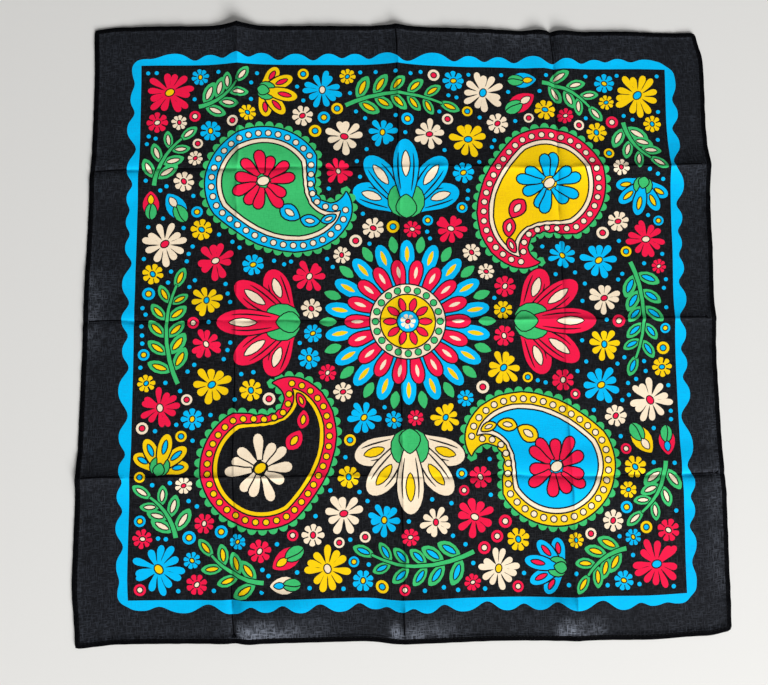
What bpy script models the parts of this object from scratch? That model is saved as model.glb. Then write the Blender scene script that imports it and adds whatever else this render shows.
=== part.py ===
# A printed cotton bandana, laid flat with its printed face up.
# It is one square of thin cloth with a narrow turned hem, and it was packed folded in four both ways,
# so three creases run down it and three run across it, each a ridge in places and a furrow in others.
# Metres, +Z up. The origin lies under the middle of the cloth, in the plane that it rests on.

from collections import namedtuple

import bmesh
import bpy

for old in list(bpy.data.objects):
    bpy.data.objects.remove(old, do_unlink=True)

MM = 0.001

# Driving dimensions: the straight-sided rectangle that the uneven sides keep close to, and the cloth
WIDTH = 549 * MM
HEIGHT = 535.5 * MM
CLOTH_THICKNESS = 1.0 * MM
HEM_THICKNESS = 1.8 * MM
HEM_WIDTH = 4.6 * MM
HEM_EDGE_ROUND = 0.9 * MM

# How deep into the cloth an uneven side pulls it out of square, as a power of the share across
SIDE_FADE = 3

# How far to each side a crease lifts the cloth, and the shape of a ridge and of a furrow
CREASE_REACH = 30 * MM
CREST_ROUND = 0.8 * MM
RIDGE_POWER = 2.2
FURROW_PEAK = 6.75

# Where the mesh has lines: from each side inwards, from each crease outwards, and between two creases
HEM_LINES = (0.0, HEM_EDGE_ROUND, HEM_WIDTH / 2, HEM_WIDTH, HEM_WIDTH * 1.15)
MARGIN_LINES = (10 * MM, 20 * MM, 40 * MM, 68 * MM)
CREASE_LINES = (3 * MM, 10 * MM, CREASE_REACH)

# A side: along is a share of its length, from the left or from the top, and out is how far the cloth
# reaches outside the straight side there
Side = namedtuple("Side", "along out")

TOP_SIDE = (
    Side(0.00, -0.5 * MM),
    Side(0.04, 2.3 * MM),
    Side(0.155, 3.3 * MM),
    Side(0.23, 4.7 * MM),
    Side(0.39, 4.3 * MM),
    Side(0.495, 5.4 * MM),
    Side(0.62, 2.6 * MM),
    Side(0.725, 0.9 * MM),
    Side(0.758, 0.0 * MM),
    Side(0.86, 0.7 * MM),
    Side(1.00, 0.0 * MM),
)
BOTTOM_SIDE = (
    Side(0.00, 0.7 * MM),
    Side(0.067, -1.9 * MM),
    Side(0.237, -0.6 * MM),
    Side(0.26, 0.5 * MM),
    Side(0.43, 0.4 * MM),
    Side(0.494, 3.8 * MM),
    Side(0.64, 2.8 * MM),
    Side(0.758, 4.2 * MM),
    Side(0.87, 4.9 * MM),
    Side(0.96, 2.9 * MM),
    Side(1.00, -0.5 * MM),
)
LEFT_SIDE = (
    Side(0.00, -0.5 * MM),
    Side(0.09, -1.8 * MM),
    Side(0.228, -1.4 * MM),
    Side(0.252, -0.2 * MM),
    Side(0.495, 1.5 * MM),
    Side(0.69, 2.7 * MM),
    Side(0.744, 3.6 * MM),
    Side(0.90, 4.3 * MM),
    Side(1.00, 0.1 * MM),
)
RIGHT_SIDE = (
    Side(0.00, 0.9 * MM),
    Side(0.054, 6.2 * MM),
    Side(0.16, 4.9 * MM),
    Side(0.236, 6.0 * MM),
    Side(0.367, 4.3 * MM),
    Side(0.496, 2.1 * MM),
    Side(0.60, 1.1 * MM),
    Side(0.755, 1.2 * MM),
    Side(0.79, 2.0 * MM),
    Side(0.93, 0.2 * MM),
    Side(1.00, -0.9 * MM),
)

# A crease runs straight from one side to the other, start and finish being shares of those sides. Its
# heights are taken at one side, at the middle of each of the four panels it passes, and at the other
# side: a ridge stands up by that much, and beside a furrow, which is below nought, the cloth does.
Crease = namedtuple("Crease", "start finish heights")
HEIGHT_STATIONS = (0.0, 0.12, 0.37, 0.63, 0.88, 1.0)

DOWN_CREASES = (
    Crease(0.230, 0.237, (7.0 * MM, 4.0 * MM, 1.6 * MM, 1.2 * MM, -2.0 * MM, -2.5 * MM)),
    Crease(0.495, 0.494, (5.0 * MM, 3.0 * MM, 2.2 * MM, 2.0 * MM, 3.0 * MM, 6.0 * MM)),
    Crease(0.758, 0.758, (-4.0 * MM, -3.0 * MM, -1.6 * MM, 1.2 * MM, 1.8 * MM, 3.0 * MM)),
)
CROSS_CREASES = (
    Crease(0.247, 0.236, (-2.2 * MM, -2.2 * MM, -1.6 * MM, 2.0 * MM, 3.5 * MM, 6.0 * MM)),
    Crease(0.495, 0.497, (-2.0 * MM, -2.0 * MM, -1.6 * MM, 1.8 * MM, 2.6 * MM, 2.8 * MM)),
    Crease(0.741, 0.756, (5.5 * MM, 2.6 * MM, 1.2 * MM, -1.6 * MM, -2.2 * MM, -2.0 * MM)),
)

# Where the cloth stands off the table beside its hem: the middle of the swell, how far it reaches each
# way, all as shares of the cloth, and how high it is
Swell = namedtuple("Swell", "across down reach_across reach_down height")

SWELLS = (
    Swell(0.12, 0.02, 0.11, 0.05, 2.0 * MM),
    Swell(0.37, 0.02, 0.11, 0.05, 2.0 * MM),
    Swell(0.62, 0.02, 0.11, 0.05, 2.0 * MM),
    Swell(0.86, 0.02, 0.10, 0.05, 1.6 * MM),
    Swell(0.98, 0.12, 0.05, 0.10, 2.0 * MM),
    Swell(0.02, 0.43, 0.04, 0.06, 2.0 * MM),
    Swell(0.30, 0.955, 0.10, 0.04, 3.0 * MM),
    Swell(0.52, 0.955, 0.08, 0.04, 2.6 * MM),
    Swell(0.73, 0.955, 0.06, 0.04, 2.6 * MM),
)

# How much each corner of the hem is rounded off
Corner = namedtuple("Corner", "across down radius")

CORNERS = (
    Corner(0, 0, 2.5 * MM),
    Corner(1, 0, 4.5 * MM),
    Corner(0, 1, 2.5 * MM),
    Corner(1, 1, 4.5 * MM),
)

# The cloth's own colour: black cotton
BLACK_COTTON = (0.0125, 0.0130, 0.0160, 1.0)


def smooth(share):
    """Nought to one with level ends."""
    share = min(max(share, 0.0), 1.0)
    return share * share * (3 - 2 * share)


def read_table(stations, values, at):
    """The value at a place between stations, eased from each one to the next."""
    for k in range(len(stations) - 1):
        if at <= stations[k + 1]:
            share = (at - stations[k]) / (stations[k + 1] - stations[k])
            return values[k] + (values[k + 1] - values[k]) * smooth(share)
    return values[-1]


def side_out(side, at):
    return read_table([row.along for row in side], [row.out for row in side], at)


def crease_share(crease, along):
    """Where a crease crosses, as a share of the cloth, at a place along it."""
    return crease.start + (crease.finish - crease.start) * along


def crease_lift(crease, along, off):
    """How far a crease lifts the cloth at a distance off its line."""
    height = read_table(HEIGHT_STATIONS, crease.heights, along)
    rounded = (off * off + CREST_ROUND * CREST_ROUND) ** 0.5 - CREST_ROUND
    near = 1 - min(rounded / CREASE_REACH, 1.0)
    if height >= 0:
        return height * near**RIDGE_POWER
    return -height * FURROW_PEAK * (1 - near) * near * near


def swell_lift(swell, across, down):
    away = ((across - swell.across) / swell.reach_across) ** 2
    away += ((down - swell.down) / swell.reach_down) ** 2
    return swell.height * max(0.0, 1 - away) ** 2


def lift(across, down):
    """The height of the cloth's underside over the table."""
    height = sum(swell_lift(swell, across, down) for swell in SWELLS)
    for crease in DOWN_CREASES:
        height += crease_lift(crease, down, (across - crease_share(crease, down)) * WIDTH)
    for crease in CROSS_CREASES:
        height += crease_lift(crease, across, (down - crease_share(crease, across)) * HEIGHT)
    return height


def round_corners(across, down):
    """Draws the cloth's corner squares in to quarter circles, as a hem's folded corner is."""
    for corner in CORNERS:
        reach_x = corner.radius / WIDTH
        reach_y = corner.radius / HEIGHT
        in_x = 1 - abs(across - corner.across) / reach_x
        in_y = 1 - abs(down - corner.down) / reach_y
        if in_x > 0 and in_y > 0:
            drawn_x = in_x * (1 - in_y * in_y / 2) ** 0.5
            drawn_y = in_y * (1 - in_x * in_x / 2) ** 0.5
            across += (in_x - drawn_x) * reach_x * (1 - 2 * corner.across)
            down += (in_y - drawn_y) * reach_y * (1 - 2 * corner.down)
    return across, down


def lie(across, down):
    """Where a point of the cloth's underside lies, from its shares across and down the cloth."""
    height = lift(across, down)
    across, down = round_corners(across, down)
    x = (across - 0.5) * WIDTH
    x -= side_out(LEFT_SIDE, down) * (1 - across) ** SIDE_FADE
    x += side_out(RIGHT_SIDE, down) * across**SIDE_FADE
    y = (0.5 - down) * HEIGHT
    y += side_out(TOP_SIDE, across) * (1 - down) ** SIDE_FADE
    y -= side_out(BOTTOM_SIDE, across) * down**SIDE_FADE
    return x, y, height


def thickness(across, down):
    """Thin cloth, and a thicker hem whose outer edge is rounded."""
    inwards = min(min(across, 1 - across) * WIDTH, min(down, 1 - down) * HEIGHT)
    edge = HEM_THICKNESS - (HEM_THICKNESS - CLOTH_THICKNESS) * (1 - smooth(inwards / HEM_EDGE_ROUND))
    return edge if inwards < HEM_WIDTH + MM / 10 else CLOTH_THICKNESS


def line_shares(creases, length, along):
    """Where the mesh's lines cross a side of this length, at a place along the creases."""
    middles = [crease_share(crease, along) * length for crease in creases]
    places = [(first + second) / 2 for first, second in zip(middles, middles[1:])]
    for middle in middles:
        places.append(middle)
        for step in CREASE_LINES:
            places += [middle - step, middle + step]
    for step in HEM_LINES + MARGIN_LINES:
        places += [step, length - step]
    return sorted(place / length for place in places)


def make_bandana():
    """A grid with its lines on the creases and the hem, laid in shape, then given its thickness."""
    columns = len(line_shares(DOWN_CREASES, WIDTH, 0))
    rows = len(line_shares(CROSS_CREASES, HEIGHT, 0))
    bm = bmesh.new()
    bmesh.ops.create_grid(bm, x_segments=columns - 1, y_segments=rows - 1, size=0.5)
    cloth = bm.verts.layers.float.new("cloth")
    for vert in bm.verts:
        column = round((vert.co.x + 0.5) * (columns - 1))
        row = round((0.5 - vert.co.y) * (rows - 1))
        across = column / (columns - 1)
        for _ in range(3):
            down = line_shares(CROSS_CREASES, HEIGHT, across)[row]
            across = line_shares(DOWN_CREASES, WIDTH, down)[column]
        vert.co = lie(across, down)
        vert[cloth] = thickness(across, down)

    printed_face = bmesh.ops.extrude_face_region(bm, geom=bm.faces[:])["geom"]
    for vert in printed_face:
        if isinstance(vert, bmesh.types.BMVert):
            vert.co.z += vert[cloth]
    bmesh.ops.recalc_face_normals(bm, faces=bm.faces[:])
    centre_on_origin(bm)

    mesh = bpy.data.meshes.new("bandana")
    bm.to_mesh(mesh)
    bm.free()
    return mesh


def centre_on_origin(bm):
    """Moves the cloth so that the origin is under the middle of its box."""
    for axis in (0, 1):
        places = [vert.co[axis] for vert in bm.verts]
        middle = (min(places) + max(places)) / 2
        for vert in bm.verts:
            vert.co[axis] -= middle


def cotton():
    material = bpy.data.materials.new("printed cotton")
    material.use_nodes = True
    shader = material.node_tree.nodes["Principled BSDF"]
    shader.inputs["Base Color"].default_value = BLACK_COTTON
    shader.inputs["Roughness"].default_value = 0.85
    shader.inputs["Metallic"].default_value = 0.0
    return material


bandana = bpy.data.objects.new("bandana", make_bandana())
bandana.data.materials.append(cotton())
bandana.data.shade_smooth()
bandana.data.set_sharp_from_angle(angle=0.9)
bpy.context.collection.objects.link(bandana)
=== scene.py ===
"""A printed cotton bandana, laid flat with its printed face up, as it lies after it was packed folded.

The cloth is drawn, printed and hemmed flat, in millimetres, and is then laid in the folds of its solid.
"""

from cmath import exp
from collections import namedtuple
from math import cos, degrees, pi, radians, sin, sqrt, tau
from random import Random

import bmesh
import bpy
import numpy as np
from mathutils import Matrix, Vector, kdtree
from mathutils.geometry import delaunay_2d_cdt


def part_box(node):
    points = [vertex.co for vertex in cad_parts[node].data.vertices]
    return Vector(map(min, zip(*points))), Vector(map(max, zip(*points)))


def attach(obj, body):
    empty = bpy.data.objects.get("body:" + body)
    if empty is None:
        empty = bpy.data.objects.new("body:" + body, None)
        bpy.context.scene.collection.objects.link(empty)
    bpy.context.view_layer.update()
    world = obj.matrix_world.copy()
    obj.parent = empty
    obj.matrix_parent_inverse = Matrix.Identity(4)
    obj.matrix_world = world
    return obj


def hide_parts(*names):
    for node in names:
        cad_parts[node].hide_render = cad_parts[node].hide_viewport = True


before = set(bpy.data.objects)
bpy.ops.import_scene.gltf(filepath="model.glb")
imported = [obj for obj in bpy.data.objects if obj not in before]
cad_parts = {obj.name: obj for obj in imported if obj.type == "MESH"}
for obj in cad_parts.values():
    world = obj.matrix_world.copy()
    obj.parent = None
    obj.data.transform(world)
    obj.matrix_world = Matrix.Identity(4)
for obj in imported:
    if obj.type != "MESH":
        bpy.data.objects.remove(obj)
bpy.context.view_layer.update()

# The print
# Five bright inks and a black one, screen-printed flat on the upper face of a black cloth: a wavy frame, and
# in it a border of flowers and leaves, and four paisleys and four open flowers round a rosette.

# Each shape is an outline of complex numbers, in millimetres from the middle of the print. Later shapes are
# printed over earlier ones, and all of them are a little uneven, as drawn by hand.
hand = Random(5)

# The black line round a shape that lies on another ink
KEYLINE = 1.3


def uneven(share):
    """A factor near one."""
    return 1 + hand.uniform(-share, share)


def bow(length, turn=0.0):
    """A line of this length along X that turns evenly to the left, by turn in radians from end to end."""
    if abs(turn) < 0.01:
        return lambda at: complex(length * at)
    return lambda at: length / turn * 1j * (1 - exp(1j * turn * at))


def part_of(line, start, end):
    return lambda at: line(start + (end - start) * at)


def strip(line, half_width, steps, crowd=2, near=0.002, pointed=0.01):
    """The outline of a shape drawn along a line, as far out on each side of it as half_width says. Its
    points crowd at both ends, or with a crowd of 1 at its far end alone."""
    right, left = [], []
    for k in range(steps + 1):
        at = sin(pi / 2 * k / steps) ** crowd
        ahead = line(at + near) - line(at - near)
        side = 1j * ahead / abs(ahead) * half_width(at)
        right.append(line(at) - side)
        if abs(side) > pointed:
            left.append(line(at) + side)
    return right + left[::-1]


def club(width, root, shoulder=0.7):
    """Half the width of a petal that is narrow at its root and round at its tip."""

    def half_width(at):
        if at >= shoulder:
            return width / 2 * sqrt(max(0.0, 1 - ((at - shoulder) / (1 - shoulder)) ** 2))
        share = at / shoulder
        return width / 2 * (root + (1 - root) * share * share * (3 - 2 * share))

    return half_width


def blade(width, fat=0.5, blunt=0.7):
    """Half the width of a leaf, pointed at both ends and widest at fat."""

    def half_width(at):
        share = at / fat / 2 if at < fat else 1 - (1 - at) / (1 - fat) / 2
        return width / 2 * max(0.0, sin(pi * min(max(share, 0.0), 1.0))) ** blunt

    return half_width


def spoke(turn, radius):
    """A point that far from the middle, turned to the left by degrees."""
    return radius * exp(1j * radians(turn))


def oval(width, height):
    """An oval round nought, with more points the larger it is."""
    steps = int(8 + sqrt(width * height) * 0.66)
    around = [tau * k / steps for k in range(steps)]
    return [complex(width / 2 * cos(turn), height / 2 * sin(turn)) for turn in around]


def disc(radius):
    return oval(2 * radius, 2 * radius)


def neighbours(outline):
    """Each point of an outline with the next one, all the way round."""
    return zip(outline, outline[1:] + outline[:1])


def divided(outline, step):
    """An outline with more points along its sides, no further than a step from each other."""
    points = []
    for a, b in neighbours(outline):
        pieces = 1 + int(abs(b - a) / step)
        points += [a + (b - a) * k / pieces for k in range(pieces)]
    return points


def outward(outline, k):
    """The way out of an outline at one of its points."""
    ahead = outline[(k + 1) % len(outline)] - outline[k - 1]
    return -1j * ahead / abs(ahead)


def grown(outline, by):
    """An outline moved out by that much all round."""
    return [point + outward(outline, k) * by for k, point in enumerate(outline)]


def lined(ink, outline, line=KEYLINE):
    """A shape in one ink with a black line round it."""
    return [("black", grown(outline, line)), (ink, outline)]


def placed(motif, at, turn=0.0, size=1.0):
    """A motif scaled, turned to the left by degrees, and moved."""
    spin = size * exp(1j * radians(turn))
    return [(ink, [at + spin * point for point in outline]) for ink, outline in motif]


def petals_round(radius, petals, core, width, shoulder, steps, droop=0.0):
    """The outlines of an open flower's petals. They start at the core, a share of the radius, and width is
    their share of the room round the flower. A droop makes some shorter and bends them all."""
    outlines = []
    first = hand.uniform(0, tau)
    for k in range(petals):
        reach = radius * (1 - droop * (1 + sin(2.3 * k + first)) / 2) * uneven(0.03)
        line = part_of(bow(reach, hand.uniform(-2, 2) * droop), core, 1)
        fat = width * tau * radius / petals * uneven(0.06)
        spin = exp(1j * (first + tau * (k + hand.uniform(-0.06, 0.06)) / petals))
        outlines.append([spin * point for point in strip(line, club(fat, 0.45, shoulder), steps, 1)])
    return outlines


def heart(ink, radius):
    """The oval middle of a flower, at any slant."""
    middle = lined(ink, oval(radius * 1.16, radius * 0.84), 1.0)
    return placed(middle, 0, hand.uniform(0, 180))


def daisy(radius, ink, middle, petals=9, line=0.0):
    """A flower of long petals. On a ground of another ink each petal gets a black line."""
    outlines = petals_round(radius, petals, core=0.25, width=0.52, shoulder=0.74, steps=6, droop=0.20)
    if line:
        flower = sum((lined(ink, outline, line) for outline in outlines), [])
    else:
        flower = [(ink, sum(outlines, []))]
    return flower + heart(middle, radius * 0.30)


def small_flower(radius, ink, middle, petals=8):
    """A flower of short round lobes."""
    outlines = petals_round(radius, petals, core=0.42, width=0.66, shoulder=0.66, steps=4)
    return [(ink, sum(outlines, []))] + heart(middle, radius * 0.42)


def ring(radius, ink, middle):
    """A disc with a smaller one of another ink on it."""
    return [(ink, disc(radius))] + lined(middle, disc(radius * 0.40), 1.0)


def leaf(length, width, window, bend=0.0):
    """A green leaf with a slit in it that shows another ink."""
    line = bow(length, bend)
    slit = strip(part_of(line, 0.24, 0.78), blade(width * 0.36), 5)
    return [("green", strip(line, blade(width, 0.56, 0.62), 7))] + lined(window, slit, 1.0)


def sprig(length, turn, pairs, window, reach, first=0.14, last=0.93, slant=57, width=0.48):
    """A bowed stem with pairs of leaves that get shorter towards its tip, and one leaf on its end. reach is
    the length of a leaf, and the pairs stand between the shares first and last of the stem."""
    motif = []
    line = bow(length, turn)
    for k in range(pairs):
        at = first + (last - first) * k / (pairs - 0.3)
        for side in (1, -1):
            long = reach * (1.06 - 0.28 * k / pairs) * uneven(0.07)
            heading = degrees(turn * at) + side * (slant + hand.uniform(-5, 5))
            motif += placed(leaf(long, long * width, window, -0.35 * side), line(at), heading)
    motif += placed(leaf(reach * 0.9, reach * 0.9 * width, window), line(0.97), degrees(turn))
    return motif + lined("green", strip(line, lambda at: 1.8 - 0.9 * at, 9), 0.9)


def tulip(height, ink, stripe, veined=False):
    """An open flower seen from its side: five petals that fan out of green sepals, the outer ones first."""
    motif = []
    for turn, reach in ((-52, 0.76), (52, 0.76), (-27, 0.92), (27, 0.92), (0, 1.0)):
        line = bow(height * reach, turn / 110)
        half_width = club(height * 0.33, 0.34, 0.66)
        petal = lined(ink, strip(line, half_width, 10, 1), 1.2)
        petal += lined(stripe, strip(part_of(line, 0.50, 0.84), blade(height * 0.10), 6), 1.0)
        if veined:
            for side in (0.64j, -0.64j):
                vein = part_of(lambda at: line(at) + side * half_width(at), 0.30, 0.82)
                petal.append(("black", strip(vein, blade(1.4, 0.5, 0.4), 7)))
        motif += placed(petal, 0, turn)
    for side in (1, -1):
        sepal = strip(bow(height * 0.46, -1.5 * side), blade(height * 0.17, 0.4), 8)
        motif += placed(lined("green", sepal, 1.0), -height * 0.03, 62 * side)
    sepal = strip(bow(height * 0.30), blade(height * 0.26, 0.4), 8)
    return motif + placed(lined("green", sepal, 1.0), -height * 0.05)


def bud(height, ink, tip):
    """A closed flower between two green sepals."""
    motif = lined(ink, strip(bow(height), blade(height * 0.60, 0.48), 9), 1.0)
    motif += lined(tip, strip(part_of(bow(height), 0.5, 0.86), blade(height * 0.2), 6), 0.9)
    for side in (1, -1):
        sepal = strip(bow(height * 0.60, -0.9 * side), blade(height * 0.24, 0.4), 7)
        motif += placed(lined("green", sepal, 0.95), -height * 0.06, 30 * side)
    return motif


# A paisley: its length along its middle line, its width, how far it curls, and where its round head ends
Drop = namedtuple("Drop", "length width curl head")


def drop_line(drop, steps=48, straight=0.28):
    """The middle line of a paisley, straight for that share and then bent more and more to its point."""
    points = [0j]
    for k in range(steps):
        bent = max(0.0, (k + 0.5) / steps - straight)
        points.append(points[-1] + drop.length / steps * exp(1j * drop.curl * bent * bent / 0.52))

    def line(at):
        place = at * steps
        k = min(max(int(place), 0), steps - 1)
        return points[k] + (points[k + 1] - points[k]) * (place - k)

    return line


def drop_outline(drop, inset, steps):
    """The outline of a paisley, or of a smaller one that lies that far inside it."""
    start = inset / drop.length
    end = drop.head + (1 - drop.head) * (1 - 2 * inset / drop.width) ** 0.9
    half = drop.width / 2 - inset

    def half_width(at):
        place = start + (end - start) * at
        if place < drop.head:
            return half * sqrt(max(0.0, 1 - ((drop.head - place) / (drop.head - start)) ** 2))
        share = (place - drop.head) / (end - drop.head)
        return half * max(0.0, 1 - share) ** 1.05 * (1 + 0.3 * share)

    return strip(part_of(drop_line(drop), start, end), half_width, steps)


def steps_round(outline, spacing):
    """Points at even steps round an outline."""
    pairs = list(neighbours(outline))
    ends = np.cumsum([0.0] + [abs(b - a) for a, b in pairs])
    count = round(ends[-1] / spacing)
    for k in range(count):
        target = ends[-1] * k / count
        side = int(np.searchsorted(ends, target, "right")) - 1
        share = (target - ends[side]) / (ends[side + 1] - ends[side])
        a, b = pairs[side]
        yield a + (b - a) * share


def scalloped(outline, spacing, depth, steps=5):
    """An outline with round scallops along it."""
    points = list(steps_round(outline, spacing / steps))
    moved = []
    for k, point in enumerate(points):
        out = depth * abs(sin(pi * (k % steps) / steps)) ** 0.6
        moved.append(point + outward(points, k) * out)
    return moved


def paisley(drop, inks):
    """A scalloped edge, a beaded band, a plain one, and on its core a flower and a row of leaves."""
    body = drop_outline(drop, inset=5.0, steps=40)
    motif = [("green", scalloped(grown(body, 1.2), spacing=8.4, depth=4.2))] + lined(inks.main, body)
    beads = []
    for point in steps_round(drop_outline(drop, inset=10.0, steps=36), spacing=8.4):
        if all(abs(point - each) > 7.0 for each in beads):
            beads.append(point)
            motif += placed(lined(inks.light, disc(2.2), 1.0), point)
    motif += lined(inks.light, drop_outline(drop, inset=15.2, steps=36))
    motif += lined(inks.core, drop_outline(drop, inset=19.4, steps=34))
    line = drop_line(drop)
    at = drop.head + 0.15
    for k in range(3):
        long = 0.112 - 0.016 * k
        petal = strip(part_of(line, at, at + long), blade(13.0 - 3.2 * k, 0.42), 8)
        slit = strip(part_of(line, at + 0.25 * long, at + 0.72 * long), blade(4.6 - 1.1 * k), 5)
        motif += lined(inks.main, petal) + lined(inks.light, slit, 1.0)
        at += long + 0.012
    flower = daisy(drop.width * 0.255, inks.second, inks.light, 11, line=1.2)
    return motif + placed(flower, line(drop.head - 0.015))


# The inks of each quarter: the upper right one first, then round with the clock
Inks = namedtuple("Inks", "main core second third light")
QUARTERS = (
    Inks("red", "yellow", "blue", "yellow", "cream"),
    Inks("yellow", "blue", "red", "blue", "cream"),
    Inks("red", "black", "cream", "blue", "yellow"),
    Inks("blue", "green", "red", "yellow", "cream"),
)


def rosette():
    """Leaves, two rings of petals and a beaded wheel round a small flower."""
    motif = []
    for k in range(18):
        motif += placed([("green", strip(bow(14), blade(7.5, 0.45), 6))], spoke(20 * k, 56), 20 * k)
    # Each ring's ink, its petals' length and width, their window's ink, start, end and width, how far from
    # the middle they begin, and which way the first one points
    rings = (
        ("blue", 36, 12.0, "yellow", 0.50, 0.86, 3.8, 30, 10),
        ("red", 26, 10.3, "cream", 0.42, 0.80, 3.0, 24, 0),
    )
    for ink, length, width, window, start, end, slit, root, turn in rings:
        petal = lined(ink, strip(bow(length), club(width, 0.5, 0.66), 7, 1), 1.1)
        petal.append((window, strip(part_of(bow(length), start, end), blade(slit), 5)))
        for heading in range(turn, 360, 20):
            motif += placed(petal, spoke(heading, root), heading)
    motif += lined("cream", disc(29.5), 1.2)
    for k in range(20):
        motif += placed(lined("green", disc(2.3), 0.8), spoke(18 * k, 25.6))
    motif += lined("yellow", disc(21.3), 1.2)
    for k in range(10):
        motif += placed(lined("red", strip(bow(10.5), blade(4.9), 6), 0.9), spoke(36 * k, 8.6), 36 * k)
    return motif + lined("blue", disc(8.2), 1.1) + small_flower(6.0, "cream", "red", 7)


def field_quarter(inks):
    """The field's upper right corner, and the middle of its upper side."""
    drop = Drop(length=162.0, width=110.0, curl=3.25, head=0.34)
    heading = 209
    head = 120 + 120j
    motif = placed(paisley(drop, inks), head - spoke(heading, drop.head * drop.length), heading)
    return motif + placed(tulip(66, inks.second, inks.light, veined=True), 93j, 90)


def border_side(inks):
    """The border's upper side, from its left corner flower to just short of the right one. Each row is a
    motif, its place and its turn."""
    rows = (
        (daisy(21.5, inks.main, inks.third, 12), -202, 202, 0),
        (sprig(40, 0.8, 3, inks.light, 20), -177, 189, 10),
        (tulip(33, inks.third, inks.main), -125, 204, -12),
        (daisy(17.5, inks.second, inks.light, 11), -71, 204, 0),
        (sprig(86, -0.85, 5, inks.third, 21), -51, 190, 26),
        (daisy(19.5, inks.light, inks.second, 11), 68, 203, 0),
        (bud(27, inks.main, inks.light), 89, 187, 33),
        (bud(23, inks.second, inks.third), 91, 215, 2),
        (sprig(48, -0.8, 3, inks.light, 20), 119, 213, -5),
    )
    return sum((placed(shape, complex(x, y), turn) for shape, x, y, turn in rows), [])


def holds(outline, points):
    """Which of the points lie inside an outline, also where it passes over itself."""
    xs = [point.real for point in outline]
    ys = [point.imag for point in outline]
    near = (points.real > min(xs)) & (points.real < max(xs))
    near &= (points.imag > min(ys)) & (points.imag < max(ys))
    some = points[near]
    turns = np.zeros(len(some), int)
    for a, b in neighbours(outline):
        if a.imag != b.imag:
            crosses = (a.imag > some.imag) != (b.imag > some.imag)
            crosses &= some.real < a.real + (b.real - a.real) * (some.imag - a.imag) / (b.imag - a.imag)
            turns[crosses] += 1 if b.imag > a.imag else -1
    held = np.zeros(len(points), bool)
    held[near] = turns != 0
    return held


# What fills a gap: the room that each asks for, how large it may get, and how it is drawn. This much of the
# ground stays clear round it, and dots fill what is left.
FILLERS = ((12.5, 17.0, daisy), (6.2, 9.2, small_flower), (4.3, 5.4, ring))
CLEAR = 2.0
DOT_ROOM = 4.3
DOT_SIZE = 1.8


def grid(reach, step):
    """Points in even rows and columns, as far out from the middle as reach."""
    side = np.arange(-reach, reach + step / 2, step)
    return (side[:, None] + 1j * side[None, :]).ravel()


def fillers(shapes, reach, step=2.5):
    """Small flowers, rings and dots for the gaps between the motifs, the widest gap first."""
    spots = grid(reach, step)
    spots += [complex(hand.uniform(-1, 1), hand.uniform(-1, 1)) for _ in spots]
    room = reach - np.maximum(abs(spots.real), abs(spots.imag))
    marks = []
    for _, outline in shapes:
        room[holds(outline, spots)] = 0
        marks += divided(outline, 2)
    tree = kdtree.KDTree(len(marks))
    for k, mark in enumerate(marks):
        tree.insert((mark.real, mark.imag, 0), k)
    tree.balance()
    for k in np.flatnonzero(room > 0):
        room[k] = min(room[k], tree.find((spots[k].real, spots[k].imag, 0))[2])
    found = []
    inks = ("yellow", "red", "blue", "cream")
    turn = 0
    while room.max() > DOT_ROOM:
        best = int(room.argmax())
        wide = room[best] - CLEAR
        size = DOT_SIZE
        motif = [("blue", disc(size))]
        for asked, largest, flower in FILLERS:
            if wide > asked:
                size = min(wide, largest)
                motif = flower(size, inks[turn % 4], inks[(turn + 2) % 4])
                turn += 1
                break
        found += placed(motif, spots[best])
        room = np.minimum(room, abs(spots - spots[best]) - size)
    return found


# The frame's inner edge, half its side, how wide its band is to the middle of its waves, how much its outer
# corners are rounded, and how many waves go round it, how high they are and how far from a corner they calm
FRAME_INSIDE = 226.5
FRAME_BAND = 7.6
FRAME_CORNER = 13.0
WAVES = 65
WAVE_HEIGHT = 2.9
CALM = 30


def wavy_frame():
    """A blue band with a wavy outer edge, calmer round its corners, and a straight inner one, filled with
    black."""
    straight = FRAME_INSIDE + FRAME_BAND - FRAME_CORNER
    outer = []
    for q in range(4):
        way = 1j**q
        for k in range(190):
            outer.append((way * complex(straight + FRAME_CORNER, straight * (k / 95 - 1)), way))
        for k in range(12):
            out = way * exp(1j * pi / 24 * k)
            outer.append((way * straight * (1 + 1j) + FRAME_CORNER * out, out))
    around = 8 * straight + tau * FRAME_CORNER
    wavy = []
    run = 0.0
    before = outer[0][0]
    for point, out in outer:
        run += abs(point - before) / around
        before = point
        # Two slower waves bring the next wave early or late, and a hasty one is lower
        beat = tau * WAVES * run + 1.5 * sin(tau * 7 * run) + 1.0 * sin(tau * 17 * run + 2)
        haste = 10.5 * cos(tau * 7 * run) + 17 * cos(tau * 17 * run + 2)
        wave = (WAVE_HEIGHT - 0.055 * haste) * (sin(beat) + 0.14 * cos(2 * beat))
        wave += 0.6 * sin(tau * 23 * run + 1)
        off_corner = min(1.0, abs(abs(point) - abs(straight * (1 + 1j) + FRAME_CORNER)) / CALM)
        wavy.append(point + out * (wave * (0.35 + 0.65 * off_corner) - 0.3 * (1 - off_corner)))
    return [("blue", wavy), ("black", [FRAME_INSIDE * (1 + 1j) * 1j**q for q in range(4)])]


def whole_print():
    field, border = [], []
    for q, inks in enumerate(QUARTERS):
        field += placed(field_quarter(inks), 0, -90 * q)
        border += placed(border_side(inks), 0, -90 * q)
    field += placed(rosette(), 0, size=1.06)
    return wavy_frame() + field + border + fillers(field + border, reach=225.0)


# The cloth
# One square of black plain-weave cotton, about 85 g per square metre and 0.3 mm thick, with its edge turned
# under twice and stitched. It lies in the folds of its solid, and is drawn flat, in millimetres.
METRE = 1000.0
WIDE = 549.0
HIGH = 535.5
CLOTH = 0.30
HEM = 4.3

# Two turned layers lift the upper one over the hem, which falls back to the single cloth within this reach
HEM_RISE = 0.75
HEM_FALL = 2.1

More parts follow.
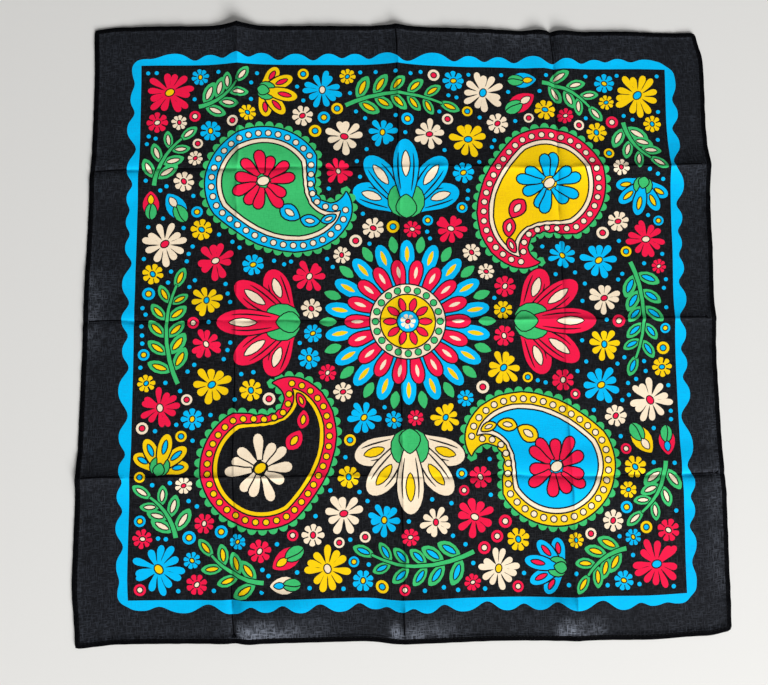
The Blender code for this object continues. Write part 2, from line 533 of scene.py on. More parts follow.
# How far inside the edge the stitches run, and how deep and wide they draw the hem in
STITCH_INSET = 3.4
STITCH_DEPTH = 0.16
STITCH_PULL = 0.7

# The uneven sides: a share along the side from the left or the top, and how far out the cloth reaches.
# Further inside they pull the cloth out of square less, by this power of the share across.
SIDE_FADE = 3
TOP_SIDE = (
    (0.00, -0.5), (0.04, 2.3), (0.155, 3.3), (0.23, 4.7), (0.39, 4.3), (0.495, 5.4),
    (0.62, 2.6), (0.725, 0.9), (0.758, 0.0), (0.86, 0.7), (1.00, 0.0),
)
BOTTOM_SIDE = (
    (0.00, 0.7), (0.067, -1.9), (0.237, -0.6), (0.26, 0.5), (0.43, 0.4), (0.494, 3.8),
    (0.64, 2.8), (0.758, 4.2), (0.87, 4.9), (0.96, 2.9), (1.00, -0.5),
)
LEFT_SIDE = (
    (0.00, -0.5), (0.09, -1.8), (0.228, -1.4), (0.252, -0.2), (0.495, 1.5),
    (0.69, 2.7), (0.744, 3.6), (0.90, 4.3), (1.00, 0.1),
)
RIGHT_SIDE = (
    (0.00, 0.9), (0.054, 6.2), (0.16, 4.9), (0.236, 6.0), (0.367, 4.3), (0.496, 2.1),
    (0.60, 1.1), (0.755, 1.2), (0.79, 2.0), (0.93, 0.2), (1.00, -0.9),
)

# A crease runs from start to finish, shares of the two sides it joins. Its heights are taken at one side,
# at the middles of the four panels and at the other side: above nought a ridge, below it a furrow. Between
# the two shares of pressed a thin line of painted shade runs along one side of it.
Crease = namedtuple("Crease", "start finish heights pressed seed")
HEIGHT_STATIONS = (0.0, 0.12, 0.37, 0.63, 0.88, 1.0)
DOWN_CREASES = (
    Crease(0.233, 0.237, (6.5, 3.0, 1.1, 0.9, -1.2, -2.0), (0.55, 1.0), 0),
    Crease(0.495, 0.494, (4.6, 2.2, 1.4, 1.3, 1.2, 0.5), (0.0, 1.0), 1),
    Crease(0.754, 0.758, (-3.0, -1.8, -0.9, 0.9, 1.3, 2.2), (0.0, 0.45), 2),
)
CROSS_CREASES = (
    Crease(0.247, 0.2385, (-0.7, -0.7, -0.8, 1.4, 2.6, 5.0), (0.0, 1.0), 10),
    Crease(0.498, 0.498, (-0.5, -0.6, -0.7, 1.2, 1.8, 2.6), (0.0, 1.0), 11),
    Crease(0.745, 0.752, (3.0, 1.4, 0.8, -0.8, -1.1, -1.2), (0.0, 1.0), 12),
)

# How far a crease lifts the cloth beside it, how its ridge falls away, and what makes the highest place
# beside a furrow as high as its row says. Its line wavers by WAVER, and its heights by a share.
CREASE_REACH = 30.0
RIDGE_POWER = 2.2
FURROW_PEAK = 6.75
WAVER = 0.45
HEIGHT_WAVER = 0.14

# The cloth is pressed sharp along that line, unevenly: a ridge gets a crest this high, a little round, and a
# furrow a notch this deep, and deeper by END_NOTCH near its ends. They fade beside it within these reaches.
CREST = 0.8
CREST_ROUND = 0.7
CREST_REACH = 1.7
NOTCH = 0.7
END_NOTCH = 0.5
NOTCH_REACH = 1.4
PRESS_WAVER = 0.35

# How wide its thin line of painted shade is, and how far to each side the shade painted along it reaches
SHADE_LINE_WIDTH = 1.2
CREASE_SHADE_REACH = 2.8

# Where the cloth stands off the table beside its hem: each swell's middle across and down and its reach
# each way, as shares of the cloth, and its height
SWELLS = (
    (0.12, 0.02, 0.11, 0.05, 2.0), (0.37, 0.02, 0.11, 0.05, 2.0), (0.62, 0.02, 0.11, 0.05, 2.0),
    (0.86, 0.02, 0.10, 0.05, 1.6), (0.98, 0.12, 0.05, 0.10, 2.0), (0.02, 0.43, 0.04, 0.06, 2.0),
    (0.30, 0.955, 0.10, 0.04, 3.0), (0.52, 0.955, 0.08, 0.04, 2.6), (0.73, 0.955, 0.06, 0.04, 2.6),
)

# Its soft unevenness all over: a height, the shortest and longest waves, and a seed
UNEVEN = ((0.16, 38, 110, 3), (0.05, 11, 30, 4))

# The puckers along the hem: their height, their reach inwards, and their shortest and longest waves
PUCKER = 0.16
PUCKER_REACH = 11
PUCKER_WAVES = (8, 21)

# Beside the creases the cloth rolls down to its lower hem more steeply. The rows are a share across and how
# high the cloth stands behind the hem, which it reaches over ROLL and loses over ROLL_FADE.
LOWER_ROLL = (
    (0.00, 0.5), (0.20, 0.7), (0.238, 0.8), (0.254, 3.6), (0.31, 3.2), (0.40, 0.6), (0.45, 0.7),
    (0.47, 2.8), (0.54, 2.6), (0.58, 0.6), (0.72, 0.7), (0.74, 3.4), (0.79, 3.0), (0.82, 0.6), (1.00, 0.3),
)
ROLL = 7.0
ROLL_FADE = 50.0

# Where the thin cloth stands off there, and a little along its other sides, a paler light is painted between
# its threads: painted light. The rows are a share along the side from the left or the top and how much it
# shows behind the hem, and it fades out this far from the hem.
PAINTED_LIGHT_BELOW = (
    (0.238, 0.0), (0.242, 0.95), (0.29, 0.75), (0.33, 0.3), (0.40, 0.0), (0.468, 0.0), (0.478, 0.95),
    (0.490, 0.8), (0.494, 0.1), (0.498, 0.6), (0.53, 0.4), (0.57, 0.1), (0.60, 0.0), (0.72, 0.0),
    (0.737, 0.8), (0.755, 0.9), (0.758, 0.4), (0.766, 0.5), (0.79, 0.35), (0.81, 0.0),
)
PAINTED_LIGHT_ABOVE = ((0.50, 0.0), (0.57, 0.07), (0.64, 0.12), (0.745, 0.12), (0.76, 0.0))
PAINTED_LIGHT_LEFT = (
    (0.38, 0.0), (0.45, 0.18), (0.494, 0.24), (0.498, 0.06), (0.503, 0.18), (0.54, 0.06), (0.58, 0.0),
)
PAINTED_LIGHT_RIGHT = ((0.60, 0.0), (0.74, 0.10), (0.80, 0.19), (0.90, 0.18), (0.97, 0.0))
PAINTED_LIGHT_FADE = 15.0

# The corners' places across and down, and how much each is rounded off
CORNERS = ((0, 0, 2.5), (1, 0, 4.5), (0, 1, 2.5), (1, 1, 4.5))


def eased(share):
    """Nought to one with level ends."""
    share = np.clip(share, 0.0, 1.0)
    return share * share * (3 - 2 * share)


def read_table(rows, at):
    """The value at each place between the rows of a table, eased from one row to the next."""
    places, values = np.array(rows).T
    k = np.clip(np.searchsorted(places, at, "right") - 1, 0, len(places) - 2)
    share = (at - places[k]) / (places[k + 1] - places[k])
    return values[k] + (values[k + 1] - values[k]) * eased(share)


def waver(along, shortest, longest, seed):
    """Unevenness along a line, of about one unit, from a few waves of these lengths."""
    draw = Random(seed)
    total = 0.0 * along
    for _ in range(5):
        length = draw.uniform(shortest, longest)
        total = total + np.sin(tau * along / length + draw.uniform(0, tau))
    return total / sqrt(5 / 2)


def ripples(x, y, shortest, longest, seed):
    """Unevenness over the cloth, of about one unit, from waves of these lengths that run every way."""
    draw = Random(seed)
    total = 0.0 * x
    for _ in range(16):
        length = draw.uniform(shortest, longest)
        way = draw.uniform(0, tau)
        total = total + np.sin(tau * (x * cos(way) + y * sin(way)) / length + draw.uniform(0, tau))
    return total / sqrt(16 / 2)


def shares(x, y):
    """How far across and down the flat cloth a place lies, as shares."""
    return x / WIDE + 0.5, 0.5 - y / HIGH


def crease_place(crease, side, along):
    """How far from the middle of the cloth a crease runs, at a share of its way along. side is the cloth's
    size across the crease."""
    straight = (crease.start + (crease.finish - crease.start) * along - 0.5) * side
    return straight + WAVER * waver(along, 0.10, 0.35, crease.seed)


def beside_creases(x, y):
    """Each crease, with how far its line runs from places on the flat cloth, to their left or above them,
    and their shares of its way along."""
    across, down = shares(x, y)
    for crease in DOWN_CREASES:
        yield crease, x - crease_place(crease, WIDE, down), down
    for crease in CROSS_CREASES:
        yield crease, -y - crease_place(crease, HIGH, across), across


def crease_lift(crease, off, along):
    """The height that a crease gives the cloth, that far to its side: a ridge, or a furrow between two low
    swells, pressed sharp down its middle."""
    heights = list(zip(HEIGHT_STATIONS, crease.heights))
    height = read_table(heights, along) * (1 + HEIGHT_WAVER * waver(along, 0.05, 0.16, crease.seed + 50))
    away = np.sqrt(off * off + CREST_ROUND**2) - CREST_ROUND
    near = 1 - np.minimum(away / CREASE_REACH, 1.0)
    pressed = 1 + PRESS_WAVER * waver(along, 0.03, 0.11, crease.seed + 80)
    ridge = np.maximum(height, 0) * near**RIDGE_POWER + CREST * pressed * np.exp(-away / CREST_REACH)
    deep = NOTCH + END_NOTCH * eased(1 - np.minimum(along, 1 - along) / HEIGHT_STATIONS[1])
    furrow = np.maximum(-height, 0) * FURROW_PEAK * (1 - near) * near * near
    furrow += deep * (1 - pressed * np.exp(-away / NOTCH_REACH)) * near * near
    return furrow + (ridge - furrow) * eased(height / 1.2 + 0.5)


def lift(x, y):
    """The height of the cloth's underside over the table, at a place on the flat cloth."""
    across, down = shares(x, y)
    height = sum(high * (1.6 + ripples(x, y, *waves)) for high, *waves in UNEVEN)
    for middle, lower, reach_across, reach_down, high in SWELLS:
        away = ((across - middle) / reach_across) ** 2 + ((down - lower) / reach_down) ** 2
        height += high * np.maximum(0.0, 1 - away) ** 2
    for crease, off, along in beside_creases(x, y):
        height += crease_lift(crease, off, along)
    inside = np.maximum(y + HIGH / 2 - HEM, 0.0)
    height += read_table(LOWER_ROLL, across) * (1 - np.exp(-inside / ROLL)) * np.exp(-inside / ROLL_FADE)
    sides = ((WIDE / 2 - x, y), (x + WIDE / 2, y), (HIGH / 2 - y, x), (y + HIGH / 2, x))
    for seed, (edge, along) in enumerate(sides, 20):
        height += PUCKER * (1.3 + waver(along, *PUCKER_WAVES, seed)) * np.exp(-((edge / PUCKER_REACH) ** 2))
    return np.maximum(height, 0.0)


def lie(x, y):
    """Where a place on the flat cloth lies, before the cloth is centred."""
    across, down = shares(x, y)
    for corner_across, corner_down, radius in CORNERS:
        in_x = np.maximum(1 - abs(across - corner_across) * WIDE / radius, 0)
        in_y = np.maximum(1 - abs(down - corner_down) * HIGH / radius, 0)
        drawn_x = in_x * np.sqrt(1 - in_y * in_y / 2)
        drawn_y = in_y * np.sqrt(1 - in_x * in_x / 2)
        across = across + (in_x - drawn_x) * radius / WIDE * (1 - 2 * corner_across)
        down = down + (in_y - drawn_y) * radius / HIGH * (1 - 2 * corner_down)
    laid_x = (across - 0.5) * WIDE
    laid_x -= read_table(LEFT_SIDE, down) * (1 - across) ** SIDE_FADE
    laid_x += read_table(RIGHT_SIDE, down) * across**SIDE_FADE
    laid_y = (0.5 - down) * HIGH
    laid_y += read_table(TOP_SIDE, across) * (1 - down) ** SIDE_FADE
    laid_y -= read_table(BOTTOM_SIDE, across) * down**SIDE_FADE
    return laid_x, laid_y, lift(x, y)


def in_shade_line(x, y):
    """Whether places on the flat cloth lie in the thin line of painted shade beside a crease."""
    inside = np.zeros(len(x), bool)
    for crease, off, along in beside_creases(x, y):
        first, last = crease.pressed
        inside |= (-SHADE_LINE_WIDTH < off) & (off < 0) & (first < along) & (along < last)
    return inside


def painted_crease_shade(x, y):
    """Painted shade along the line of a crease: one on its line, falling unevenly to nought beside it."""
    away = np.min([abs(off) for _, off, _ in beside_creases(x, y)], 0)
    wear_and_shade = 1 - np.minimum(away / CREASE_SHADE_REACH, 1)
    return wear_and_shade * np.clip(0.85 + 0.2 * ripples(x, y, 7, 30, 6), 0.5, 1.0)


def painted_light(x, y):
    """How much light is painted on the cloth where it stands off beside its hem, to make it paler, unevenly.
    """
    across, down = shares(x, y)
    sides = (
        (PAINTED_LIGHT_ABOVE, across, down * HIGH), (PAINTED_LIGHT_BELOW, across, (1 - down) * HIGH),
        (PAINTED_LIGHT_LEFT, down, across * WIDE), (PAINTED_LIGHT_RIGHT, down, (1 - across) * WIDE),
    )
    shows = sum(read_table(rows, at) * eased(1.15 - (edge - HEM) / PAINTED_LIGHT_FADE) for rows, at, edge in sides)
    return shows * np.clip(0.85 + 0.3 * ripples(x, y, 9, 30, 7), 0.2, 1.0)


def edge_distance(x, y):
    return np.minimum(WIDE / 2 - abs(x), HIGH / 2 - abs(y))


def hem_rise(inset):
    """How much two turned layers lift the cloth at a distance inside its edge."""
    return HEM_RISE * eased(1 - (inset - HEM) / HEM_FALL)


def upper_height(inset):
    """The printed face's height over the underside, drawn in along the stitches."""
    return CLOTH + hem_rise(inset) - STITCH_DEPTH * np.exp(-(((inset - STITCH_INSET) / STITCH_PULL) ** 2))


# The places where the mesh has points: this many along each side, and this far apart on the cloth and along
# a crease, which start this far inside its edge. They lie in these lines beside the edge and beside each
# crease, and no nearer to each other than the last value.
EDGE_STEPS = 150
CLOTH_STEP = 8.5
CLOTH_INSET = 15
CREASE_STEP = 6.0
CREASE_INSET = 5
EDGE_LINES = (1.5, 2.6, STITCH_INSET, 5.0, 5.7, 6.4, 8.4, 12.0)
CREST_LINES = (-SHADE_LINE_WIDTH, 0.0, SHADE_LINE_WIDTH)
BESIDE_CREST = (-12.0, -7.0, -3.4, 3.4, 7.0, 12.0)
SAME_PLACE = 0.02


def edge_ring(inset, steps=EDGE_STEPS):
    """Points round the flat cloth, that far inside its edge."""
    half = complex(WIDE / 2 - inset, HIGH / 2 - inset)
    corners = [half, complex(-half.real, half.imag), -half, complex(half.real, -half.imag)]
    return [a + (b - a) * k / steps for a, b in neighbours(corners) for k in range(steps)]


def crease_lines(offs):
    """Lines of points that run along every crease, that far to its side."""
    lines = []
    kinds = (DOWN_CREASES, WIDE, HIGH, 1, -1j), (CROSS_CREASES, HIGH, WIDE, -1j, 1)
    for creases, side, run, out, ahead in kinds:
        along = np.arange(CREASE_INSET, run - CREASE_INSET, CREASE_STEP) / run
        for crease in creases:
            place = crease_place(crease, side, along)
            lines += [list((place + off) * out + (along - 0.5) * run * ahead) for off in offs]
    return lines


def cut_out(shapes, inset):
    """The flat cloth inside that inset as points and triangles cut along every outline and crease, with the
    ink that shows on each triangle."""
    loops = [edge_ring(inset)] + [divided(outline, CLOTH_STEP) for _, outline in shapes]
    if inset < HEM:
        loops.append(edge_ring(HEM, EDGE_STEPS // 2))
    points, joined = [], []
    for loop in loops:
        joined += [(len(points) + k, len(points) + (k + 1) % len(loop)) for k in range(len(loop))]
        points += loop
    for line in crease_lines(CREST_LINES):
        joined += [(len(points) + k, len(points) + k + 1) for k in range(len(line) - 1)]
        points += line
    for line in crease_lines(BESIDE_CREST):
        points += line
    for away in EDGE_LINES:
        if away > inset + 0.5:
            points += edge_ring(away)
    spots = grid(CLOTH_STEP * int(WIDE / 2 / CLOTH_STEP), CLOTH_STEP)
    points += list(spots[edge_distance(spots.real, spots.imag) > CLOTH_INSET])
    flat = [Vector((point.real, point.imag)) for point in points]
    found, _, triangles, _, _, _ = delaunay_2d_cdt(flat, joined, [], 0, SAME_PLACE)
    places = np.array([complex(*point) for point in found])
    middles = places[np.array(triangles)].mean(1)
    inks = np.full(len(triangles), "cloth", object)
    for ink, outline in shapes:
        inks[holds(outline, middles)] = ink
    # Bare cloth in the thin line beside a crease gets the near-black finish of painted shade
    if inset < HEM:
        bare = (inks == "cloth") | (inks == "black")
        inks[bare & in_shade_line(middles.real, middles.imag)] = "crease_shade"
    inks[edge_distance(middles.real, middles.imag) < HEM] = "hem"
    return places, triangles, inks


def area(outline):
    return sum((a.conjugate() * b).imag for a, b in neighbours(outline)) / 2


# How the edge is turned: how far inside the edge each line of the fold lies, and its height. It starts
# from the upper face, goes round under it and ends where the single cloth comes out of the hem.
UPPER_INSET = 0.6
HEM_FOLD = (
    (0.25, 0.98), (0.06, 0.80), (0.0, 0.53), (0.06, 0.26), (0.25, 0.08), (0.6, 0.0), (2.4, 0.0),
    (HEM - 0.3, 0.0), (HEM - 0.05, 0.10), (HEM + 0.02, 0.36), (HEM + 0.06, HEM_RISE),
)

# The smallest shapes that show through the cloth, in square millimetres: of a bright ink, and of black
SHOWS_THROUGH = 85
BLACK_SHOWS_THROUGH = 650

# The faces of the flat mesh: the printed side, the hem turned under it, and the reverse
PRINTED, HEMMED, REVERSE = range(3)


def hemmed_cloth(shapes, finishes):
    """The flat cloth as a closed shell: its printed face, the hem turned under it, and its reverse, where
    only the larger shapes show through."""
    bm = bmesh.new()
    part = bm.faces.layers.int.new("part")

    def add_side(cut, height, side):
        places, triangles, inks = cut
        heights = height(edge_distance(places.real, places.imag))
        verts = [bm.verts.new((place.real, place.imag, high)) for place, high in zip(places, heights)]
        for corners, ink in zip(triangles, inks):
            face = bm.faces.new([verts[k] for k in corners[::1 if side == PRINTED else -1]])
            face.material_index = finishes.index(ink)
            face[part] = side
        return verts

    add_side(cut_out(shapes, UPPER_INSET), upper_height, PRINTED)
    before = UPPER_INSET
    edges = [edge for edge in bm.edges if edge.is_boundary]
    for inset, height in HEM_FOLD:
        turned = bmesh.ops.extrude_edge_only(bm, edges=edges)["geom"]
        edges = [each for each in turned if isinstance(each, bmesh.types.BMEdge) and each.is_boundary]
        for each in turned:
            if isinstance(each, bmesh.types.BMVert):
                each.co.x *= (WIDE / 2 - inset) / (WIDE / 2 - before)
                each.co.y *= (HIGH / 2 - inset) / (HIGH / 2 - before)
                each.co.z = height
            if isinstance(each, bmesh.types.BMFace):
                each.material_index = finishes.index("hem")
                each[part] = HEMMED
        before = inset

    seen_through = []
    for ink, outline in shapes:
        if abs(area(outline)) > (BLACK_SHOWS_THROUGH if ink == "black" else SHOWS_THROUGH):
            seen_through.append((ink, outline))
    places, triangles, inks = cut_out(seen_through, before)
    inks = [("cloth" if ink in ("hem", "black") else ink) + " behind" for ink in inks]
    last = dict.fromkeys(vert for edge in edges for vert in edge.verts)
    verts = add_side((places, triangles, inks), hem_rise, REVERSE)
    rim = [vert for vert in verts if vert.is_boundary]
    bmesh.ops.remove_doubles(bm, verts=[*last, *rim], dist=SAME_PLACE)
    bmesh.ops.recalc_face_normals(bm, faces=bm.faces[:])
    return bm


def read_ints(items, name):
    """One whole number of each item of a mesh."""
    values = np.empty(len(items), np.int32)
    items.foreach_get(name, values)
    return values


def read_vectors(items, name):
    """Three numbers of each item."""
    values = np.empty(3 * len(items))
    items.foreach_get(name, values)
    return values.reshape(-1, 3)


def lay(places):
    """Flat points, in millimetres, laid in the folds of the cloth and centred on its solid, in metres."""
    x, y, z = places.T
    laid_x, laid_y, underside = lie(x, y)
    return np.stack((laid_x + CENTRE.x, laid_y + CENTRE.y, underside + z), 1) / METRE


# The laid outline's middle, moved to the middle of the solid's box
outline = np.array(edge_ring(0.0))
outline_x, outline_y, _ = lie(outline.real, outline.imag)
low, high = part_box("bandana")
CENTRE = Vector((
    (low[0] + high[0]) / 2 * METRE - (outline_x.min() + outline_x.max()) / 2,
    (low[1] + high[1]) / 2 * METRE - (outline_y.min() + outline_y.max()) / 2,
))


def face_normals_at(places, height, step=0.3):
    """The normal of the laid cloth at flat points, where height gives that face's own height."""
    x, y = places[:, 0], places[:, 1]

    def laid(x, y):
        return lay(np.stack((x, y, height(edge_distance(x, y))), 1))

    normals = np.cross(laid(x + step, y) - laid(x - step, y), laid(x, y + step) - laid(x, y - step))
    return normals / np.linalg.norm(normals, axis=1, keepdims=True)


# The bake's map holds the printed face above and the hem and the reverse below, a little inside its edges
MAP_EDGE = 0.005
PRINT_BAND = (0.225, 1 - MAP_EDGE)
REVERSE_BAND = (MAP_EDGE, 0.21)


def finish_cloth(mesh):
    """Gives the flat mesh its two UV maps, lays it, and sets the normals of its two faces."""
    places = read_vectors(mesh.vertices, "co")
    corners = read_ints(mesh.loops, "vertex_index")
    sizes = read_ints(mesh.polygons, "loop_total")
    part = read_ints(mesh.attributes["part"].data, "value")
    printed = np.repeat(part == PRINTED, sizes)[:, None]

    flat = places[corners, :2]
    mesh.uv_layers.new(name="flat").uv.foreach_set("vector", (flat / METRE).ravel())
    share = flat / (WIDE, HIGH) + 0.5
    above, below = (share * (1 - 2 * MAP_EDGE, band[1] - band[0]) + (MAP_EDGE, band[0])
                    for band in (PRINT_BAND, REVERSE_BAND))
    mesh.uv_layers.new(name="OFBake").uv.foreach_set("vector", np.where(printed, above, below).ravel())

    # Two shares painted on the cloth: shade along its creases, and light where it stands off beside its hem
    for name, value in (("crease_shade", painted_crease_shade), ("painted_light", painted_light)):
        attribute = mesh.attributes.new(name, "FLOAT", "POINT")
        attribute.data.foreach_set("value", value(places[:, 0], places[:, 1]))

    kinds = np.full(len(places), HEMMED)
    for kind in (PRINTED, REVERSE):
        kinds[corners[np.repeat(part == kind, sizes)]] = kind
    mesh.vertices.foreach_set("co", lay(places).ravel())
    mesh.update()
    normals = read_vectors(mesh.vertex_normals, "vector")
    printed, reverse = kinds == PRINTED, kinds == REVERSE
    normals[printed] = face_normals_at(places[printed], upper_height)
    normals[reverse] = -face_normals_at(places[reverse], hem_rise)
    mesh.shade_smooth()
    mesh.normals_split_custom_set_from_vertices(normals)


def plug(tree, node, sockets):
    """Sets a node's sockets to values, or links them."""
    for name, value in sockets.items():
        if isinstance(value, bpy.types.NodeSocket):
            tree.links.new(value, node.inputs[name])
        else:
            node.inputs[name].default_value = value


def add(tree, kind, output, sockets={}, **settings):
    """Adds a node of this kind with its settings and its sockets, and gives that output of it."""
    node = tree.nodes.new("ShaderNode" + kind)
    for name, value in settings.items():
        setattr(node, name, value)
    plug(tree, node, sockets)
    return node.outputs[output]


def linear(colour):
    """The linear colour of an sRGB hex value such as #FFC60A."""
    parts = [int(colour[k:k + 2], 16) / 255 for k in (1, 3, 5)]
    return [part / 12.92 if part <= 0.04045 else ((part + 0.055) / 1.055) ** 2.4 for part in parts] + [1.0]


def new_finish(name):
    """A new material, its tree and its shader."""
    material = bpy.data.materials.new(name)
    material.use_nodes = True
    return material, material.node_tree, material.node_tree.nodes["Principled BSDF"]


def put(name, data):
    """A new object in the scene, at the origin."""
    thing = bpy.data.objects.new(name, data)
    bpy.context.collection.objects.link(thing)
    return thing


# The real threads lie 0.35 mm apart, too fine for the render. They are drawn as yarns this wide, which run
# on this far before they thin out and stand up this much, and the dye is uneven over patches of this size.
YARN_WIDTH = 0.0009
YARN_LENGTH = 0.0065
YARN_RELIEF = 0.0004
PATCH = 0.055

# The colour of the shade painted along a crease, and how much of it shows on ink and on cloth
CREASE_SHADE_COLOUR = "#030304"
CREASE_SHADE_ON_INK = 0.6
CREASE_SHADE_ON_CLOTH = 0.9


def cotton(name, colour, wear_and_shade, relief, roughness, gloss, shine, painted_light_colour=None):
    """Plain-weave cotton, or ink on it: its own colour and that of the yarns that stand out, how deep the
    weave is, how rough it is and how much smoother those yarns are, how much it shines, and the colour of
    the light painted between its threads where it stands off."""
    material, tree, shader = new_finish(name)
    flat = add(tree, "UVMap", "UV", uv_map="flat")
    yarns = []
    for scale in ((1 / YARN_WIDTH, 1 / YARN_LENGTH, 1), (1 / YARN_LENGTH, 1 / YARN_WIDTH, 1)):
        run = add(tree, "Mapping", "Vector", {"Vector": flat, "Scale": scale})
        rough_run = {"Vector": run, "Scale": 1.0, "Detail": 2.0, "Roughness": 0.6}
        yarns.append(add(tree, "TexNoise", "Fac", rough_run, noise_dimensions="2D"))
    weave = add(tree, "Math", "Value", {0: yarns[0], 1: yarns[1]}, operation="MAXIMUM")
    patch = {"Vector": flat, "Scale": 1 / PATCH, "Detail": 3.0}
    patches = add(tree, "TexNoise", "Fac", patch, noise_dimensions="2D")
    stand_out = add(tree, "MapRange", "Result", {"Value": weave, "From Min": 0.50, "From Max": 0.70})
    blotches = add(tree, "MapRange", "Result",
                   {"Value": patches, "From Min": 0.3, "From Max": 0.7, "To Min": 0.5})
    shown = add(tree, "Math", "Value", {0: stand_out, 1: blotches}, operation="MULTIPLY")
    layers = [(shown, wear_and_shade)]
    # Painted light: a paler colour between the threads where the cloth stands off
    if painted_light_colour:
        raised = add(tree, "Attribute", "Fac", attribute_name="painted_light")
        gaps = add(tree, "MapRange", "Result",
                   {"Value": weave, "From Min": 0.46, "From Max": 0.66, "To Min": 0.06})
        light = add(tree, "Math", "Value", {0: raised, 1: gaps}, operation="MULTIPLY")
        layers.append((light, painted_light_colour))
    # Painted shade: a near-black line along the creases, on ink and on cloth
    crease_shade = add(tree, "Attribute", "Fac", attribute_name="crease_shade")
    shows = CREASE_SHADE_ON_CLOTH if gloss else CREASE_SHADE_ON_INK
    line = add(tree, "MapRange", "Result", {"Value": crease_shade, "From Min": 0.45, "To Max": shows})
    layers.append((line, CREASE_SHADE_COLOUR))
    paint = linear(colour)
    for share, over in layers:
        mix = {"Factor": share, "A": paint, "B": linear(over)}
        paint = add(tree, "Mix", "Result", mix, data_type="RGBA")
    bump = add(tree, "Bump", "Normal", {"Height": weave, "Strength": relief, "Distance": YARN_RELIEF})
    plug(tree, shader, {"Base Color": paint, "Normal": bump, "Roughness": roughness,
                        "Specular IOR Level": shine, "Specular Tint": linear("#E8EDFF")})
    if gloss:
        rubbed = {"Value": weave, "From Min": 0.50, "From Max": 0.72, "To Min": roughness,
                  "To Max": roughness - gloss}
        plug(tree, shader, {"Roughness": add(tree, "MapRange", "Result", rubbed)})
    return material


# Reactive-dyed black cotton is dull, with a faint grey bloom on the yarns that stand out. Black ink on it
# is deeper and more neutral. The hem is three layers thick, so less light passes between its threads and it
# looks blacker. The crease finish is near-black painted shade, for the shadow in a crease.
FINISHES = {
    "cloth": cotton("black_cotton", "#060709", "#272B32", 0.45, 0.90, 0.16, 0.29, painted_light_colour="#7C828E"),
    "black": cotton("black_pigment_ink", "#040404", "#1F2124", 0.40, 0.90, 0.16, 0.22),
    "hem": cotton("black_cotton_hem", "#020203", "#08090C", 0.35, 0.8, 0.0, 0.05),
    "crease_shade": cotton("black_cotton_crease_shade", "#020203", "#0A0B0E", 0.35, 0.9, 0.0, 0.05),
    "cloth behind": cotton("black_cotton_reverse", "#050608", "#15171C", 0.5, 0.68, 0.2, 0.30),
}

# The bright inks are pigment pastes: flat and opaque, over a weave that still shows a little. On the reverse
# they show through the cloth, dull and broken up by its threads. Each has its colour and the one on the
# yarns that stand out, on the face and on the reverse.
INKS = (
    ("blue", "#00C0FB", "#0BB2EE", "#0C3044", "#1C4A60"),
    ("red", "#FB1A4A", "#E82048", "#40101A", "#5A2A34"),
    ("yellow", "#FFD50A", "#F6C614", "#4A3C14", "#66592E"),
    ("green", "#40C371", "#38B466", "#143622", "#2A5038"),
    ("cream", "#FDEACD", "#F4DDBE", "#4C4640", "#686158"),
)
for ink, colour, wear_and_shade, dull, dull_worn in INKS:
    FINISHES[ink] = cotton(ink + "_pigment_ink", colour, wear_and_shade, 0.25, 0.7, 0.0, 0.06)
    FINISHES[ink + " behind"] = cotton(ink + "_show_through", dull, dull_worn, 0.5, 0.68, 0.2, 0.25)

# The print is drawn square. On the cloth its frame has this size inside, lies this far from the middle, and
# is wider at the top by this much for each millimetre up.
FRAME_WIDE = 470.2
FRAME_HIGH = 464.8
PRINT_ASIDE = 3.4 - 0.3j
PRINT_SPREAD = 0.000028


def on_the_cloth(point):
    wide = point.real * FRAME_WIDE / FRAME_INSIDE / 2 * (1 + PRINT_SPREAD * point.imag)
    return complex(wide, point.imag * FRAME_HIGH / FRAME_INSIDE / 2) + PRINT_ASIDE


printed_shapes = [(ink, [on_the_cloth(point) for point in outline]) for ink, outline in whole_print()]
flat_cloth = hemmed_cloth(printed_shapes, list(FINISHES))
cloth_mesh = bpy.data.meshes.new("cotton_bandana")
for material in FINISHES.values():
    cloth_mesh.materials.append(material)
flat_cloth.to_mesh(cloth_mesh)
flat_cloth.free()
finish_cloth(cloth_mesh)
cloth = put("cotton_bandana", cloth_mesh)
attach(cloth, "root")
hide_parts("bandana")


# The hem stitches
# One row of lockstitches in black polyester thread, about eight to the inch, sewn round the hem by machine.
# It shows as short stitches on the printed face, and as the same stitches sunk in the cloth underneath.
STITCH_PITCH = 3.2
STITCH_LENGTH = 2.7
THREAD = 0.36
THREAD_FLATTENED = 0.7

# How far each stitch slants, in degrees, and strays from the row, and the heights of the two rows' middles:
# over the upper face, and over the hem's underside
SLANT = 3
STRAY = 0.07
ROW_HEIGHTS = (upper_height(STITCH_INSET) + 0.05, 0.04)

one = bmesh.new()
bmesh.ops.create_uvsphere(one, u_segments=6, v_segments=4, radius=0.5)
thread_mesh = bpy.data.meshes.new("hem_stitches")
one.to_mesh(thread_mesh)
one.free()

stitching = bmesh.new()
draw = Random(8)
for length, away, turn in ((WIDE, HIGH, 0), (HIGH, WIDE, 90), (WIDE, HIGH, 180), (HIGH, WIDE, 270)):
    run = length - 2 * STITCH_INSET
    count = round(run / STITCH_PITCH)
    for k in range(count):
        along = (k + 0.5) * run / count - run / 2
        for height in ROW_HEIGHTS:
            slant = radians(draw.uniform(-SLANT, SLANT))
            aside = away / 2 - STITCH_INSET + draw.uniform(-STRAY, STRAY)
            place = (
                Matrix.Rotation(radians(turn), 4, "Z")
                @ Matrix.Translation((along, aside, height))
                @ Matrix.Rotation(slant, 4, "Z")
                @ Matrix.Diagonal((STITCH_LENGTH, THREAD, THREAD * THREAD_FLATTENED, 1))
                @ Matrix.Rotation(pi / 2, 4, "Y")
            )
            thread_mesh.transform(place)
            stitching.from_mesh(thread_mesh)
            thread_mesh.transform(place.inverted())
bmesh.ops.recalc_face_normals(stitching, faces=stitching.faces[:])
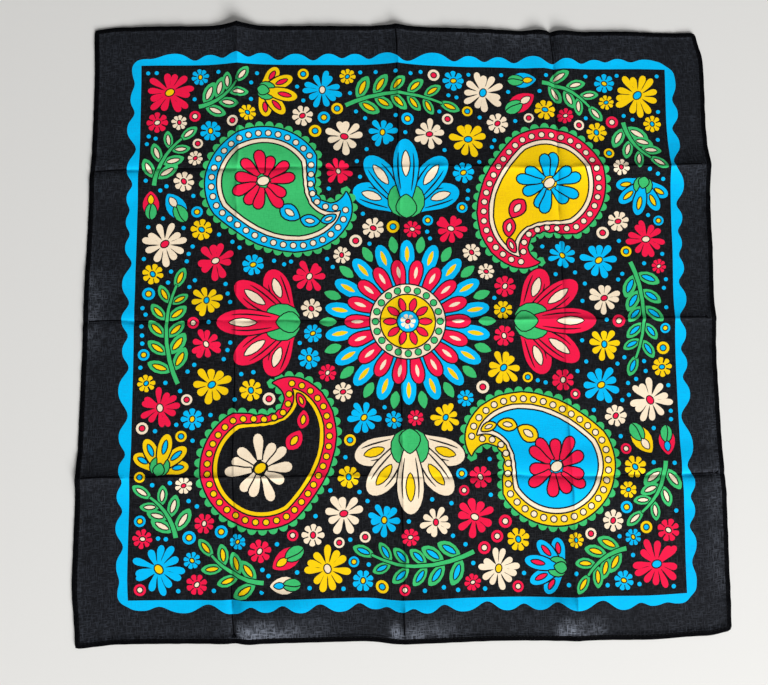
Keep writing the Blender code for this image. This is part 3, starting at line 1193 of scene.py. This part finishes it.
stitching.to_mesh(thread_mesh)
stitching.free()
thread_mesh.vertices.foreach_set("co", lay(read_vectors(thread_mesh.vertices, "co")).ravel())
thread_mesh.shade_smooth()
stitches = put("hem_stitches", thread_mesh)

# Spun polyester thread has a soft gloss, and twisted plies that give it a fine slanting grain
thread, tree, shader = new_finish("black_polyester_thread")
spot = add(tree, "TexCoord", "Object")
slanting = {"Vector": spot, "Scale": 900.0, "Distortion": 1.5}
plies = add(tree, "TexWave", "Fac", slanting, bands_direction="DIAGONAL")
shades = {"Factor": plies, "A": linear("#040405"), "B": linear("#101114")}
shade = add(tree, "Mix", "Result", shades, data_type="RGBA")
bump = add(tree, "Bump", "Normal", {"Height": plies, "Strength": 0.4, "Distance": 0.0001})
plug(tree, shader, {"Base Color": shade, "Normal": bump, "Roughness": 0.6, "Specular IOR Level": 0.15})
thread_mesh.materials.append(thread)
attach(stitches, "root")


# The floor, the light and the camera
# A plain pale floor, a large soft light low over the lower side of the cloth, a faint one to its right, and
# the camera at the photograph's angle: above the lower left of the middle, leaning towards the upper side.
floor_mesh = bpy.data.meshes.new("floor")
ground = bmesh.new()
bmesh.ops.create_grid(ground, x_segments=1, y_segments=1, size=6.0,
                      matrix=Matrix.Translation((0, 0, -0.0003)))
ground.to_mesh(floor_mesh)
ground.free()
pale, tree, shader = new_finish("pale_floor")
plug(tree, shader, {"Base Color": linear("#E2E1DE"), "Roughness": 0.9})
floor_mesh.materials.append(pale)
put("floor", floor_mesh)


def softbox(name, place, size, power):
    """A square light that faces the middle of the cloth."""
    lamp = bpy.data.lights.new(name, "AREA")
    lamp.size = size
    lamp.energy = power
    light = put(name, lamp)
    light.location = place
    light.rotation_euler = (-Vector(place)).to_track_quat("-Z", "Y").to_euler()


softbox("key", (1.4, -3.6, 2.2), 2.4, 335.0)
softbox("fill", (1.8, 0.8, 1.8), 2.2, 9.0)

# The room lights the cloth faintly, and looks brighter where the camera sees it
world = bpy.data.worlds.new("studio")
world.use_nodes = True
tree = world.node_tree
seen = add(tree, "LightPath", "Is Camera Ray")
strength = add(tree, "MapRange", "Result", {"Value": seen, "To Min": 0.14, "To Max": 0.75})
plug(tree, tree.nodes["Background"], {"Color": linear("#FFFFFF"), "Strength": strength})
bpy.context.scene.world = world
bpy.context.scene.view_settings.view_transform = "Standard"

lens = bpy.data.cameras.new("camera")
lens.sensor_width = 36.0
lens.lens = 36.05
camera = put("camera", lens)
right = Vector((0.99918, -0.01463, 0.03762))
up = Vector((0.01011, 0.99299, 0.11776))
turned = Matrix((right, up, right.cross(up))).transposed()
camera.matrix_world = Matrix.Translation((-0.0447, -0.0971, 0.6650)) @ turned.to_4x4()
bpy.context.scene.camera = camera
